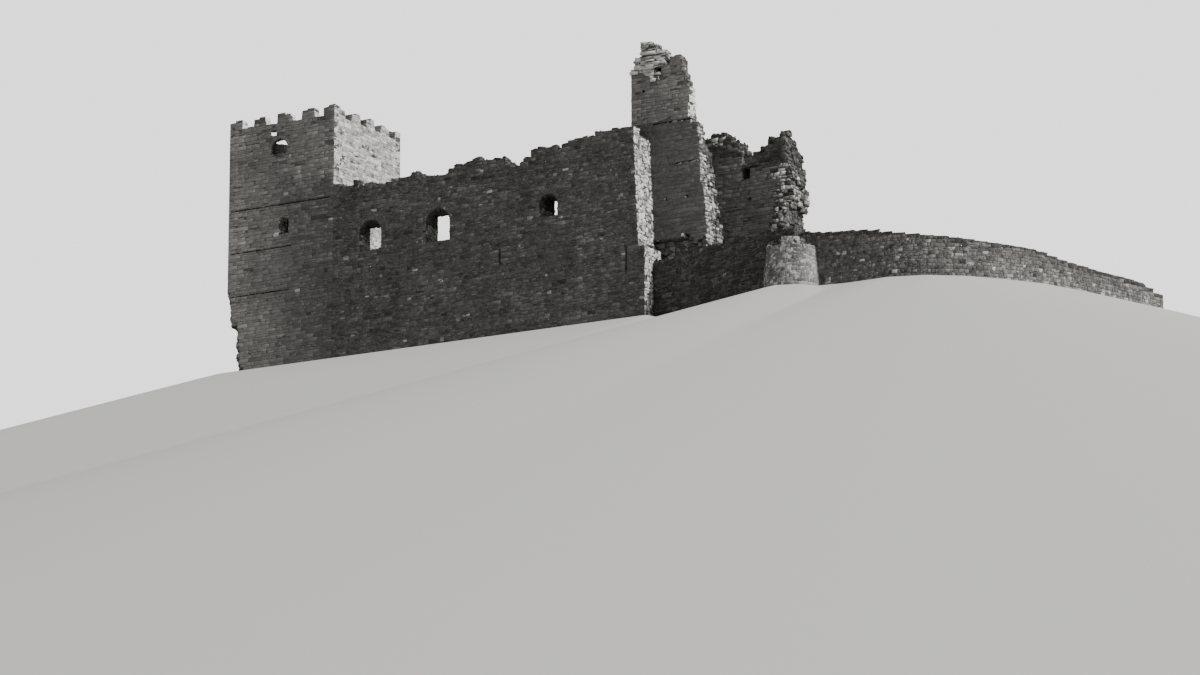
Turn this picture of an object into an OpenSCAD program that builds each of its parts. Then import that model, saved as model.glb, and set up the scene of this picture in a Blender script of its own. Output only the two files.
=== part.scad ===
// A ruined stone castle at one tenth of its full size. A square keep with battlements stands on the left.
// A long hall wall with arched windows joins it to the broken shell of a taller tower. A low wall, a round
// turret and a curved outer wall close the right side. Lengths are in millimetres of the model.
// The origin is the centre of the keep at ground level. X runs right along the front, Y back and Z up.

/* [Masonry] */
// Height of one course of stone, the step of every broken edge
course_height = 30; // [20:5:60]
// Usual length of the steps along a broken wall top
broken_step = 60; // [40:5:120]
// How far the broken ends of the walls move in and out from course to course
broken_reach = 24; // [0:2:40]

/* [Keep tower] */
// Width of the keep along the front
keep_width = 1020; // [900:10:1300]
// Depth of the keep from front to back
keep_depth = 980; // [900:10:1300]
// Thickness of the keep walls
keep_wall = 200; // [120:10:280]
// Height of the floor that the front window stands on
keep_window_floor = 990; // [880:10:1060]
// Height of the roof deck, where the walls end and the parapet starts
keep_deck = 1740; // [1500:10:1760]
// Thickness of the keep floors
floor_thickness = 30; // [20:5:60]
// Height of the sills of the battlements above the roof deck
parapet_height = 295; // [240:5:340]
// Height of a merlon above the sill
merlon_height = 85; // [40:5:120]
// Width of a merlon at its foot
merlon_width = 120; // [80:2:140]
// How far the sides of the merlons lean back where stones are lost
merlon_wear = 26; // [0:2:40]
// Merlons along each side
merlon_count = 5; // [3:1:7]
// Thickness of the parapet
parapet_thickness = 70; // [40:5:110]

/* [Keep openings] */
// Centre of the front window from the left corner
keep_window_middle = 542; // [420:2:700]
// Width of the front window
keep_window_width = 102; // [60:2:160]
// Height of the sill of the front window above its floor
keep_window_sill = 103; // [70:1:160]
// Height of the front window
keep_window_height = 154; // [100:2:220]
// Centre of the arched opening in the front parapet
upper_opening_middle = 490; // [300:2:700]
// Width of the arched opening in the front parapet
upper_opening_width = 156; // [100:2:180]
// Height of the sill of the arched opening above the roof deck
upper_opening_sill = 43; // [20:1:60]
// Full height of the arched opening
upper_opening_height = 116; // [95:1:135]
// Heights of the thin wall in the lower part of the arched opening, at its left and right sides
breast_height = [93, 55];
// Thickness of that thin wall
breast_thickness = 30; // [20:5:60]
// Thickness of the arch of the arched opening, in front of its flat head
upper_arch_thickness = 30; // [15:5:60]
// How much the arched opening widens to each side towards the back
upper_opening_splay = 10; // [2:2:30]
// Centre of the small loophole above the arched opening
loophole_middle = 428; // [300:2:700]
// Width of the loophole in front
loophole_width = 58; // [30:2:80]
// Height of the loophole
loophole_height = 55; // [30:1:70]
// Height of solid wall between the arched opening and the loophole
loophole_rise = 31; // [20:1:50]
// How much the loophole widens to each side towards the back
loophole_splay = 42; // [0:2:60]
// Width of the doorway on the courtyard side
doorway_width = 110; // [80:5:150]
// Full height of the doorway
doorway_height = 225; // [180:5:300]
// Height of the slots in the wall faces
slot_height = 14; // [8:1:25]
// Depth of the slots in the wall faces
slot_depth = 30; // [10:5:50]

/* [Hall wall] */
// Thickness of the hall wall
hall_thickness = 250; // [180:10:320]
// Centres of the hall windows from the keep corner
hall_window_middle = [1376, 2015, 3040];
// Widths of the hall windows at the front face
hall_window_width = [210, 225, 169];
// Heights of the window sills
hall_window_sill = [852, 842, 909];
// Full heights of the windows
hall_window_height = [249, 270, 184];
// How much the windows widen to each side towards the back
hall_window_splay = [60, 44, 8];
// Thickness of the arches of the windows, in front of their flat heads
hall_arch_thickness = 60; // [30:5:100]
// Height of the flat heads of the openings above their arches
flat_head_rise = 6; // [2:1:20]
// Length of the last part of the hall wall, along its top
hall_end_length = 464; // [400:2:560]
// How far the top of the hall wall runs past the left side of the great tower
hall_overlap = 164; // [60:2:240]
// How much further the foot of the hall wall reaches
hall_foot_reach = 101; // [0:1:160]
// Height of that foot
hall_foot_height = 560; // [300:10:700]

/* [Great tower] */
// Left side of the great tower from the keep corner
tower_left = 3650; // [3600:10:3700]
// Depth of the great tower from front to back
tower_depth = 1100; // [900:10:1300]
// Thickness of the great tower walls
tower_wall = 250; // [180:10:300]
// Height of the stump of its lost right wall
stump_height = 1180; // [900:10:1300]
// How far the stump stands out from the back wall
stump_reach = 110; // [60:5:200]
// Width of the stump
stump_width = 90; // [60:3:150]
// Depth of the hollow where the facing is lost at the foot of the front wall
foot_hollow_depth = 80; // [30:5:120]
// Height of the ledge inside the back wall
ledge_height = 1420; // [1380:10:1450]
// Depth of the ledge inside the back wall
ledge_depth = 40; // [20:5:80]

/* [Low wall and turret] */
// Thickness of the low wall
low_wall_thickness = 120; // [80:10:180]
// Radius of the turret at the ground
turret_base_radius = 240; // [200:5:280]
// Radius of the turret at its broken top
turret_top_radius = 196; // [180:2:260]
// Height of the turret
turret_height = 390; // [340:10:450]
// Place of the turret centre from the keep corner
turret_place = [5270, -90];

/* [Outer wall] */
// Thickness of the outer wall
outer_wall_thickness = 120; // [80:10:180]
// Centre that the outer wall curves round, from the keep corner
outer_wall_centre = [5400, 1690];

/* [Hidden] */
$fn = 48;
eps = 1;
battlement_sill = keep_deck + parapet_height;
merlon_top = battlement_sill + merlon_height;
window_sill_height = keep_window_floor + keep_window_sill;
upper_sill_height = keep_deck + upper_opening_sill;
tower_front = hall_thickness;
tower_back = hall_thickness + tower_depth;
hall_end = tower_left + hall_overlap;
hall_foot_end = hall_end + hall_foot_reach;
hall_joint = hall_end - hall_end_length;
hall_split_west = (hall_window_middle[0] + hall_window_middle[1]) / 2;
hall_split_east = (hall_window_middle[1] + hall_window_middle[2]) / 2;
low_wall_split = (hall_foot_end + turret_place[0]) / 2;
low_wall_start = hall_thickness - low_wall_thickness / 2 - 5;
low_wall_turn = atan2(turret_place[1] - low_wall_start, turret_place[0] - hall_foot_end);

// Broken top of the hall wall, as distance from the keep corner and height
hall_top = [
    [1020, 1450], [1125, 1398], [1222, 1416], [1372, 1392], [1500, 1375], [1669, 1404], [1732, 1435],
    [1838, 1425], [1954, 1387], [2070, 1384], [2195, 1427], [2341, 1453], [2466, 1439], [2653, 1415],
    [2684, 1351], [2757, 1335], [2818, 1387], [2880, 1433], [2890, 1477], [2962, 1476], [3105, 1450],
    [3238, 1464], [3289, 1494], [3472, 1513], [3600, 1510], [3645, 1530], [3755, 1518], [3814, 1462]
];
// Right end of the hall wall above its foot, as distance past the end of its top and height
hall_end_slope = [[38, 630], [44, 561]];
// Broken top of the great tower front, as distance from its left side and height
tower_top = [
    [0, 2046], [22, 2070], [47, 2140], [90, 2195], [112, 2265], [182, 2252], [232, 2205], [290, 2186],
    [300, 2060], [340, 2062], [352, 2118], [414, 2130], [467, 2080]
];
// Broken right side of the great tower front, as height and distance from its left side
tower_side = [
    [0, 720], [500, 672], [620, 678], [770, 656], [917, 657], [1061, 622], [1166, 631],
    [1334, 605], [1472, 608], [1560, 594], [1580, 540], [1652, 512], [1764, 513], [1796, 544],
    [1874, 520], [1928, 493], [2018, 473], [2083, 452]
];
// How much further left the back of that side is, as height and distance
tower_side_lean = [
    [0, 0], [700, 0], [900, -8], [1320, -42], [1500, -104], [1590, -60], [1650, -50], [1760, -70],
    [1800, -110], [2300, -110]
];
// Ragged head of the hollow at the foot of the great tower front, as distance from its left side and height
foot_hollow = [[100, 660], [456, 690], [520, 660], [560, 630], [640, 630]];
// Broken top of the great tower left wall, as distance back from the front wall and height
tower_left_top = [[0, 1690], [120, 1520], [260, 1380], [400, 1440], [510, 1560], [600, 1600]];
// Broken top of the great tower back wall, as distance from its left side and height
back_top = [
    [0, 1560], [179, 1669], [232, 1686], [295, 1715], [368, 1700], [462, 1625], [487, 1574],
    [534, 1535], [586, 1508], [638, 1525], [721, 1574], [805, 1624], [890, 1647], [925, 1620]
];
// Broken right side of the great tower back wall, as height and distance from its left side
back_side = [
    [0, 970], [900, 935], [1010, 930], [1050, 960], [1130, 990], [1200, 962], [1320, 955],
    [1450, 930], [1540, 925], [1620, 925]
];
// How much further left the back of that side is, as height and distance
back_side_lean = [[0, 0], [1450, 0], [1600, -55], [1700, -80]];
// Broken top of the low wall
low_wall_top = [
    [3885, 450], [4170, 450], [4380, 455], [4590, 458], [4645, 482], [4750, 497], [4810, 487],
    [4940, 490], [5140, 482], [5350, 464]
];
// Depth of the broken keep corner, as height and distance
corner_loss = [[0, 160], [60, 122], [180, 112], [270, 106], [385, 95], [395, 46], [600, 30], [650, 14]];
// Distance of the outer wall face from its centre, as angle and radius
outer_wall_radius = [
    [-93, 1790], [-89, 1790], [-76, 1868], [-69, 1950], [-61, 1985], [-53, 1973], [-44, 1936], [-34, 1909],
    [-23, 1873], [-9, 1895], [3, 2013], [5, 2040]
];
// Height of the outer wall, as angle and height
outer_wall_height = [
    [-93, 464], [-89, 445], [-84, 419], [-76, 403], [-72, 380], [-69, 356], [-65, 337], [-61, 318],
    [-57, 306], [-53, 296], [-44, 276], [-34, 263], [-28, 222], [-16, 190], [-9, 192], [-3, 178],
    [0, 152], [3, 121], [5, 110]
];
// Unevenness of the spaces between the merlons, as distance along a side and distance moved
front_merlon_shift = [
    [0, 0], [345, 12], [450, 12], [570, 32], [675, 24], [795, 35], [900, 15], [1020, 0]
];
right_merlon_shift = [
    [0, 0], [120, 40], [215, 33], [335, 50], [430, 40], [550, 50], [645, 35], [765, 50], [860, 40], [980, 0]
];
even_merlons = [[0, 0], [1, 0]];
// Merlons lost on the left side, counted from 0 at the front, and the height of what is left of them
left_merlons_lost = [3];
merlon_stump = 12;
turret_wedges = 12;
outer_wall_start = -92.6;
outer_wall_end = 5;
outer_wall_nodes = 8;
outer_wall_lengths = 4;

stone = [0.62, 0.60, 0.55];
dark_stone = [0.50, 0.49, 0.46];
pale_stone = [0.72, 0.69, 0.62];
floor_stone = [0.56, 0.54, 0.50];

// Part to show, or all of them

// An uneven number from 0 to 1 that is always the same for the same place
function uneven(n) = let (s = sin(n * 744.261) * 43758.5453) s - floor(s);

// Edges of the three rows of stone across a wall, from its front face
function row_edge(thickness, row) = round(thickness * row / 3);

// A height brought to the nearest course
function to_course(z) = round(z / course_height) * course_height;

// A place along a broken top, moved a little from an even division
function step_place(from, to, i, count, seed) =
    i == 0 ? from : i == count ? to : from + (to - from) * (i + 0.5 * (uneven(seed + 3.7 * i) - 0.5)) / count;

// Points of a broken top from left to right, in level steps one course or more high
function broken_top(guide, from, to, seed, drop, step = broken_step) =
    let (count = max(1, round((to - from) / step)))
    [
        for (i = [0 : count - 1])
            let (a = step_place(from, to, i, count, seed), b = step_place(from, to, i + 1, count, seed))
            let (rise = course_height * (uneven(seed + i) - 0.5), fall = drop * uneven(seed + 91 + i))
            let (z = lookup((a + b) / 2, guide) + rise - fall)
            each [[a, to_course(z)], [b, to_course(z)]]
    ];

// Points of a broken side from the top down, moved in and out every two courses from a first course,
// with a share of the lean that the side has from front to back
function broken_side(guide, lean, share, top, seed, first) =
    let (count = ceil((top - first * course_height) / (2 * course_height)))
    [
        for (k = [count - 1 : -1 : first > 0 ? -1 : 0])
            let (low = max(0, (2 * k + first) * course_height))
            let (high = min(top, (2 * k + 2 + first) * course_height))
            let (middle = (low + high) / 2)
            let (x = lookup(middle, guide) + share * lookup(middle, lean))
            let (place = x + broken_reach * (uneven(seed + 7 * k) - 0.5))
            each [[place, high], [place, low]]
    ];

// Puts a shape measured from the keep corner into the frame of the model
module from_corner() {
    translate([-keep_width / 2, -keep_depth / 2, 0]) children();
}

// Stands an outline of distances and heights up along the front, from one depth to another
module upright(front, back) {
    translate([0, back, 0]) rotate([90, 0, 0]) linear_extrude(back - front) children();
}

// A wall with a broken top, in three rows across its thickness that are broken differently
module broken_wall(guide, from, to, front, back, seed, drop) {
    for (row = [0 : 2]) {
        top = broken_top(guide, from, to, seed + 17 * row, row == 0 ? 0 : drop);
        upright(front + row_edge(back - front, row), front + row_edge(back - front, row + 1))
            polygon(concat([[from, 0]], top, [[to, 0]]));
    }
}

// A wall of the great tower with a broken top and a broken right side, in three rows across its thickness
module broken_end_wall(guide, side, lean, length, front, back, seed, drop, step) {
    for (row = [0 : 2]) {
        share = row == 0 ? 0 : (row + 1) / 3;
        reach = round(length + share * lookup(lookup(length, guide), lean));
        top = broken_top(guide, 0, reach, seed + 17 * row, row == 0 ? 0 : drop, step);
        last = top[len(top) - 1][1];
        translate([tower_left, 0, 0])
            upright(front + row_edge(back - front, row), front + row_edge(back - front, row + 1))
            polygon(concat([[0, 0]], top, broken_side(side, lean, share, last, seed + 29 * row, row % 2)));
    }
}

// The outline of an opening with a round arch
module arch_outline(middle, width, sill, height) {
    radius = width / 2;
    translate([middle - radius, sill]) square([width, height - radius]);
    translate([middle, sill + height - radius]) circle(r = radius);
}

// A straight arched opening through a wall
module arched_opening(middle, width, sill, height, front, back) {
    upright(front, back) arch_outline(middle, width, sill, height);
}

// The widening of an opening towards the back, with a sloping jamb on each side and a flat head
module splayed_back(middle, width, sill, height, front, back, splay) {
    half = width / 2;
    translate([0, 0, sill]) linear_extrude(height + flat_head_rise)
        polygon([
            [middle - half, front], [middle + half, front],
            [middle + half + splay, back], [middle - half - splay, back]
        ]);
}

// Stones lost from the front left corner of the keep, one stepped cut for each course
module robbed_corner() {
    for (k = [0 : floor(650 / course_height)]) {
        low = k * course_height;
        depth = lookup(low + course_height / 2, corner_loss) * (0.88 + 0.24 * uneven(k + 5));
        translate([0, 0, low - (k == 0 ? eps : 0)])
            linear_extrude(course_height + (k == 0 ? eps : 0))
            polygon([
                [-eps, -eps], [depth, -eps], [depth, 0.55 * depth], [0.6 * depth, 0.55 * depth],
                [0.6 * depth, 1.15 * depth], [0.25 * depth, 1.15 * depth], [0.25 * depth, 1.7 * depth],
                [-eps, 1.7 * depth]
            ]);
    }
}

// A shallow slot along the front face of a wall
module wall_slot(from, to, height, face) {
    translate([from, face - eps, height - slot_height / 2]) cube([to - from, slot_depth + eps, slot_height]);
}

// A small square beam hole in the front face of a wall
module beam_hole(x, z, face) {
    translate([x - 12, face - eps, z - 12]) cube([24, 90 + eps, 24]);
}

// A distance along a side of the battlements, moved as its merlons are spaced
function spaced(x, shift) = x + lookup(x, shift);

// The gaps between the merlons, cut down to the sill along a side of the given length
module battlement_gaps(side_length, seed, shift, lost) {
    pitch = (side_length - merlon_width) / (merlon_count - 1);
    above = merlon_top + eps;
    for (i = [0 : merlon_count - 2]) {
        left = spaced(i * pitch + merlon_width, shift);
        right = spaced((i + 1) * pitch, shift);
        low = battlement_sill - 8 * uneven(seed + i);
        upright(-eps, parapet_thickness + eps)
            polygon([
                [left, low], [right, low],
                [right + merlon_wear * uneven(seed + 50 + i), above],
                [left - merlon_wear * uneven(seed + 70 + i), above]
            ]);
    }
    // Tops of the merlons worn down to a slope, and corners broken off
    for (i = [0 : merlon_count - 1]) {
        left = spaced(i * pitch, shift) - eps;
        right = spaced(i * pitch + merlon_width, shift) + eps;
        chip = 0.45 * (right - left);
        upright(-eps, parapet_thickness + eps)
            polygon([
                [left, merlon_top - 3 - 12 * uneven(seed + 11 + i)],
                [right, merlon_top - 3 - 12 * uneven(seed + 23 + i)],
                [right, above], [left, above]
            ]);
        chip_left = uneven(seed + i) > 0.5 ? right - chip : left;
        upright(-eps, parapet_thickness + eps)
            translate([chip_left, merlon_top - 16 - 14 * uneven(seed + 31 + i)])
            square([chip, merlon_height]);
    }
    // Merlons broken down to a low stump
    for (i = lost)
        upright(-eps, parapet_thickness + eps)
            translate([spaced(i * pitch, shift) - merlon_wear - eps, battlement_sill + merlon_stump])
            square([merlon_width + 2 * merlon_wear + 2 * eps, merlon_height]);
}

module keep_front_wall() {
    color(stone) from_corner() difference() {
        cube([keep_width, keep_wall, keep_deck]);
        translate([keep_window_middle - keep_window_width / 2, -eps, window_sill_height])
            cube([keep_window_width, keep_wall + 2 * eps, keep_window_height]);
        robbed_corner();
        wall_slot(12, 985, 1345, 0);
        wall_slot(20, 612, 990, 0);
        wall_slot(10, 600, 628, 0);
    }
}

module keep_right_wall() {
    color(pale_stone) from_corner() difference() {
        translate([keep_width - keep_wall, keep_wall, 0])
            cube([keep_wall, keep_depth - 2 * keep_wall, keep_deck]);
        translate([keep_width, (keep_depth + hall_thickness) / 2, 0]) rotate([0, 0, 90])
            arched_opening(0, doorway_width, floor_thickness, doorway_height, -eps, keep_wall + eps);
    }
}

// The window of a hidden side of the keep, on the same floor and as large as the front one
module hidden_window(side_length) {
    translate([(side_length - keep_window_width) / 2, -eps, window_sill_height])
        cube([keep_window_width, keep_wall + 2 * eps, keep_window_height]);
}

module keep_back_wall() {
    color(stone) from_corner() translate([0, keep_depth - keep_wall, 0]) difference() {
        cube([keep_width, keep_wall, keep_deck]);
        hidden_window(keep_width);
    }
}

module keep_left_wall() {
    color(stone) from_corner() difference() {
        translate([0, keep_wall, 0]) cube([keep_wall, keep_depth - 2 * keep_wall, keep_deck]);
        robbed_corner();
        translate([keep_wall, 0, 0]) rotate([0, 0, 90]) hidden_window(keep_depth);
    }
}

// Small loophole above the arched opening, wider at the back
module loophole() {
    half = loophole_width / 2;
    translate([loophole_middle, 0, upper_sill_height + upper_opening_height + loophole_rise])
        linear_extrude(loophole_height)
        polygon([
            [-half, -eps], [half, -eps],
            [half + loophole_splay, parapet_thickness + eps],
            [-half - loophole_splay, parapet_thickness + eps]
        ]);
}

// Thin wall with a sloping top in the lower part of the arched opening
module breast() {
    left = upper_opening_middle - upper_opening_width / 2;
    right = upper_opening_middle + upper_opening_width / 2;
    upright(parapet_thickness - breast_thickness, parapet_thickness + 2 * eps)
        polygon([
            [0, keep_deck], [0, upper_sill_height + breast_height[0]],
            [left, upper_sill_height + breast_height[0]], [right, upper_sill_height + breast_height[1]],
            [keep_width, upper_sill_height + breast_height[1]], [keep_width, keep_deck]
        ]);
}

module keep_front_parapet() {
    color(stone) from_corner() difference() {
        translate([0, 0, keep_deck]) cube([keep_width, parapet_thickness, merlon_top - keep_deck]);
        battlement_gaps(keep_width, 80, front_merlon_shift, []);
        // Arched opening, with a flat head behind its arch
        difference() {
            union() {
                arched_opening(upper_opening_middle, upper_opening_width, upper_sill_height,
                    upper_opening_height, -eps, upper_arch_thickness + eps);
                splayed_back(upper_opening_middle, upper_opening_width, upper_sill_height,
                    upper_opening_height, upper_arch_thickness, parapet_thickness + eps,
                    upper_opening_splay);
            }
            breast();
        }
        loophole();
    }
}

module keep_back_parapet() {
    color(stone) from_corner() translate([0, keep_depth - parapet_thickness, 0]) difference() {
        translate([0, 0, keep_deck]) cube([keep_width, parapet_thickness, merlon_top - keep_deck]);
        battlement_gaps(keep_width, 11, even_merlons, []);
    }
}

// A side parapet between the front and back ones, along Y
module side_parapet(seed, shift, lost) {
    difference() {
        translate([0, parapet_thickness, keep_deck])
            cube([parapet_thickness, keep_depth - 2 * parapet_thickness, merlon_top - keep_deck]);
        translate([parapet_thickness, 0, 0]) rotate([0, 0, 90])
            battlement_gaps(keep_depth, seed, shift, lost);
    }
}

module keep_right_parapet() {
    color(pale_stone) from_corner() translate([keep_width - parapet_thickness, 0, 0])
        side_parapet(23, right_merlon_shift, []);
}

module keep_left_parapet() {
    color(stone) from_corner() side_parapet(41, even_merlons, left_merlons_lost);
}

// A floor slab that fills the keep between its walls, with its top at the given height
module keep_floor(top) {
    from_corner() translate([keep_wall, keep_wall, top - floor_thickness])
        cube([keep_width - 2 * keep_wall, keep_depth - 2 * keep_wall, floor_thickness]);
}

module keep_ground_floor() {
    color(floor_stone) keep_floor(floor_thickness);
}

module keep_window_floor() {
    color(floor_stone) keep_floor(keep_window_floor);
}

module keep_roof_deck() {
    color(floor_stone) keep_floor(keep_deck);
}

// One arched hall window. Behind the arch its head is flat and its jambs open out
module hall_window(i) {
    arched_opening(hall_window_middle[i], hall_window_width[i], hall_window_sill[i], hall_window_height[i],
        -eps, hall_arch_thickness + eps);
    splayed_back(hall_window_middle[i], hall_window_width[i], hall_window_sill[i], hall_window_height[i],
        hall_arch_thickness, hall_thickness + eps, hall_window_splay[i]);
}

module hall_wall_west() {
    color(dark_stone) from_corner() difference() {
        broken_wall(hall_top, keep_width, hall_split_west, 0, hall_thickness, 101, 60);
        hall_window(0);
    }
}

module hall_wall_middle() {
    color(dark_stone) from_corner() difference() {
        broken_wall(hall_top, hall_split_west, hall_split_east, 0, hall_thickness, 131, 60);
        hall_window(1);
    }
}

module hall_wall_east() {
    color(dark_stone) from_corner() difference() {
        broken_wall(hall_top, hall_split_east, hall_joint, 0, hall_thickness, 163, 60);
        hall_window(2);
        // Upright slit low in the wall
        translate([2590, -eps, 570]) cube([14, 60, 130]);
    }
}

module hall_wall_end() {
    color(dark_stone) from_corner() difference() {
        for (row = [0 : 2]) {
            top = broken_top(hall_top, hall_joint, hall_end - 24, 197 + 17 * row, row == 0 ? 0 : 50);
            last = top[len(top) - 1][1];
            upright(row_edge(hall_thickness, row), row_edge(hall_thickness, row + 1))
                polygon(concat(
                    [[hall_joint, 0]], top, [[hall_end, last]],
                    [for (p = hall_end_slope) [hall_end + p[0], p[1]]],
                    [[hall_foot_end, hall_foot_height], [hall_foot_end, 0]]
                ));
        }
        // Upright slit low in the wall
        translate([hall_end - 74, -eps, 360]) cube([14, 60, 220]);
    }
}

module great_tower_front_wall() {
    color(dark_stone) from_corner() difference() {
        broken_end_wall(tower_top, tower_side, tower_side_lean, 436,
            tower_front, tower_front + tower_wall, 211, 90, 0.75 * broken_step);
        wall_slot(tower_left + 195, tower_left + 610, 1600, tower_front);
        wall_slot(tower_left + 339, tower_left + 610, 1258, tower_front);
        beam_hole(tower_left + 110, 1880, tower_front);
        beam_hole(tower_left + 310, 980, tower_front);
        beam_hole(tower_left + 500, 980, tower_front);
        // Facing stones lost along the foot
        for (i = [0 : len(foot_hollow) - 2])
            translate([tower_left + foot_hollow[i][0], tower_front - eps, 480])
                cube([
                    foot_hollow[i + 1][0] - foot_hollow[i][0] + (i == len(foot_hollow) - 2 ? 0 : eps),
                    foot_hollow_depth + eps, to_course(foot_hollow[i][1]) - 480
                ]);
        // Hollow near the top
        translate([tower_left + 212, tower_front - eps, 2018]) cube([62, 90, 45]);
    }
}

module great_tower_left_wall() {
    length = tower_depth - 2 * tower_wall;
    color(dark_stone) from_corner()
        for (row = [0 : 2]) {
            top = broken_top(tower_left_top, 0, length, 241 + 17 * row, 50);
            translate([tower_left + row_edge(tower_wall, row), tower_front + tower_wall, 0])
                rotate([90, 0, 90]) linear_extrude(row_edge(tower_wall, row + 1) - row_edge(tower_wall, row))
                polygon(concat([[0, 0]], top, [[length, 0]]));
        }
}

module great_tower_back_wall() {
    inside = tower_back - tower_wall;
    color(stone) from_corner() difference() {
        broken_end_wall(back_top, back_side, back_side_lean, 905, inside, tower_back, 283, 60, broken_step);
        // Small window
        translate([tower_left + 520, inside - eps, 1300]) cube([70, tower_wall + 2 * eps, 100]);
        // The wall is thinner above the ledge
        translate([tower_left + 520, inside - eps, ledge_height]) cube([350, ledge_depth + eps, 400]);
        beam_hole(tower_left + 590, 1140, inside);
    }
}

// Stump of the lost right wall against the back wall
module great_tower_corner() {
    third = round(stump_width / 3);
    guide = [[0, stump_height - 250], [stump_reach, stump_height]];
    color(pale_stone) from_corner()
        for (row = [0 : 2]) {
            top = broken_top(guide, 0, stump_reach, 301 + 17 * row, 60);
            translate([tower_left + 850 + row * third, tower_back - tower_wall - stump_reach, 0])
                rotate([90, 0, 90]) linear_extrude(third)
                polygon(concat([[0, 0]], top, [[stump_reach, 0]]));
        }
}

module turret_body() {
    translate([turret_place[0], turret_place[1], 0])
        cylinder(h = turret_height, r1 = turret_base_radius, r2 = turret_top_radius);
}

// A wedge of the turret top from one angle to another, outside its rubble middle
module turret_wedge(a, b, low) {
    translate([0, 0, low]) linear_extrude(2 * turret_height)
        polygon([
            [120 * cos(a), 120 * sin(a)], [400 * cos(a), 400 * sin(a)],
            [400 * cos(b), 400 * sin(b)], [120 * cos(b), 120 * sin(b)]
        ]);
}

// The turret with its broken top
module turret_stump() {
    difference() {
        turret_body();
        // Stones lost round the top, with a few parts left at full height
        translate([turret_place[0], turret_place[1], 0])
            for (i = [0 : turret_wedges - 1])
                if (uneven(i + 57) > 0.3)
                    turret_wedge(
                        360 / turret_wedges * (i + 0.4 * uneven(i + 3)),
                        360 / turret_wedges * (i + 1 + 0.4 * uneven(i + 4)),
                        turret_height - course_height * ceil(2 * uneven(i + 57))
                    );
    }
}

module round_turret() {
    color(pale_stone) from_corner() turret_stump();
}

// A length of the low wall with its broken top, on the line from the hall wall to the turret
module low_wall(from, to, seed) {
    translate([hall_foot_end, low_wall_start, 0]) rotate([0, 0, low_wall_turn])
        translate([-hall_foot_end, 0, 0])
        broken_wall(low_wall_top, from, to, -low_wall_thickness / 2, low_wall_thickness / 2, seed, 50);
}

module low_wall_west() {
    color(dark_stone) from_corner() difference() {
        low_wall(hall_foot_end - 30, low_wall_split, 331);
        // Cut level with the end of the hall wall
        translate([hall_foot_end - 200, -hall_thickness, -eps])
            cube([200, 3 * hall_thickness, 2 * turret_height]);
    }
}

module low_wall_east() {
    color(dark_stone) from_corner() difference() {
        low_wall(low_wall_split, turret_place[0] + 90, 353);
        turret_stump();
        // Cut off where the outer wall starts
        translate([outer_wall_centre[0], outer_wall_centre[1], -eps]) rotate([0, 0, outer_wall_start])
            cube([3000, 1000, 2 * turret_height]);
    }
}

// A point on the outer wall at an angle, set back from the face
function outer_point(a, back) =
    let (r = lookup(a, outer_wall_radius) - back)
    [outer_wall_centre[0] + r * cos(a), outer_wall_centre[1] + r * sin(a)];

// One node of the outer wall, in short straight lengths that each end at their own height
module outer_wall(n) {
    sweep = (outer_wall_end - outer_wall_start) / (outer_wall_nodes * outer_wall_lengths);
    for (i = [0 : outer_wall_lengths - 1]) {
        a = outer_wall_start + sweep * (n * outer_wall_lengths + i);
        b = a + sweep;
        linear_extrude(round(lookup((a + b) / 2, outer_wall_height) / 5) * 5)
            polygon([
                outer_point(a, 0), outer_point(b, 0),
                outer_point(b, outer_wall_thickness), outer_point(a, outer_wall_thickness)
            ]);
    }
}

module outer_wall_1() {
    color(dark_stone) from_corner() difference() {
        outer_wall(0);
        turret_stump();
    }
}

module outer_wall_2() {
    color(dark_stone) from_corner() outer_wall(1);
}

module outer_wall_3() {
    color(stone) from_corner() outer_wall(2);
}

module outer_wall_4() {
    color(stone) from_corner() outer_wall(3);
}

module outer_wall_5() {
    color(stone) from_corner() outer_wall(4);
}

module outer_wall_6() {
    color(pale_stone) from_corner() outer_wall(5);
}

module outer_wall_7() {
    color(pale_stone) from_corner() outer_wall(6);
}

module outer_wall_8() {
    color(pale_stone) from_corner() outer_wall(7);
}

keep_front_wall();
keep_right_wall();
keep_back_wall();
keep_left_wall();
keep_front_parapet();
keep_right_parapet();
keep_back_parapet();
keep_left_parapet();
keep_ground_floor();
keep_window_floor();
keep_roof_deck();
hall_wall_west();
hall_wall_middle();
hall_wall_east();
hall_wall_end();
great_tower_front_wall();
great_tower_left_wall();
great_tower_back_wall();
great_tower_corner();
low_wall_west();
low_wall_east();
round_turret();
outer_wall_1();
outer_wall_2();
outer_wall_3();
outer_wall_4();
outer_wall_5();
outer_wall_6();
outer_wall_7();
outer_wall_8();
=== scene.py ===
from math import pi, radians
import bpy
import numpy as np
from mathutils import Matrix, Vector
from mathutils.bvhtree import BVHTree


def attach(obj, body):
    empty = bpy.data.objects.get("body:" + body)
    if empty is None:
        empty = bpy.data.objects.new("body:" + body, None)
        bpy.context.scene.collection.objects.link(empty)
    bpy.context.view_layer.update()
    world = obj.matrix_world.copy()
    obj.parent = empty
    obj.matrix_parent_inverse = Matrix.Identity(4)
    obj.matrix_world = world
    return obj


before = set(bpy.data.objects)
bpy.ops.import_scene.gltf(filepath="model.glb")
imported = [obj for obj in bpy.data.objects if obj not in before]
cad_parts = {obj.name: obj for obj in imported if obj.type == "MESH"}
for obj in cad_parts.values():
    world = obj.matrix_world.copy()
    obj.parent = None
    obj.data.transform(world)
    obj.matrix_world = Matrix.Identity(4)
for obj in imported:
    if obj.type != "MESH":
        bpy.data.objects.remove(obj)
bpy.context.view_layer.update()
scene = bpy.context.scene
print("castle: CAD model loaded,", len(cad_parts), "nodes")

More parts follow.
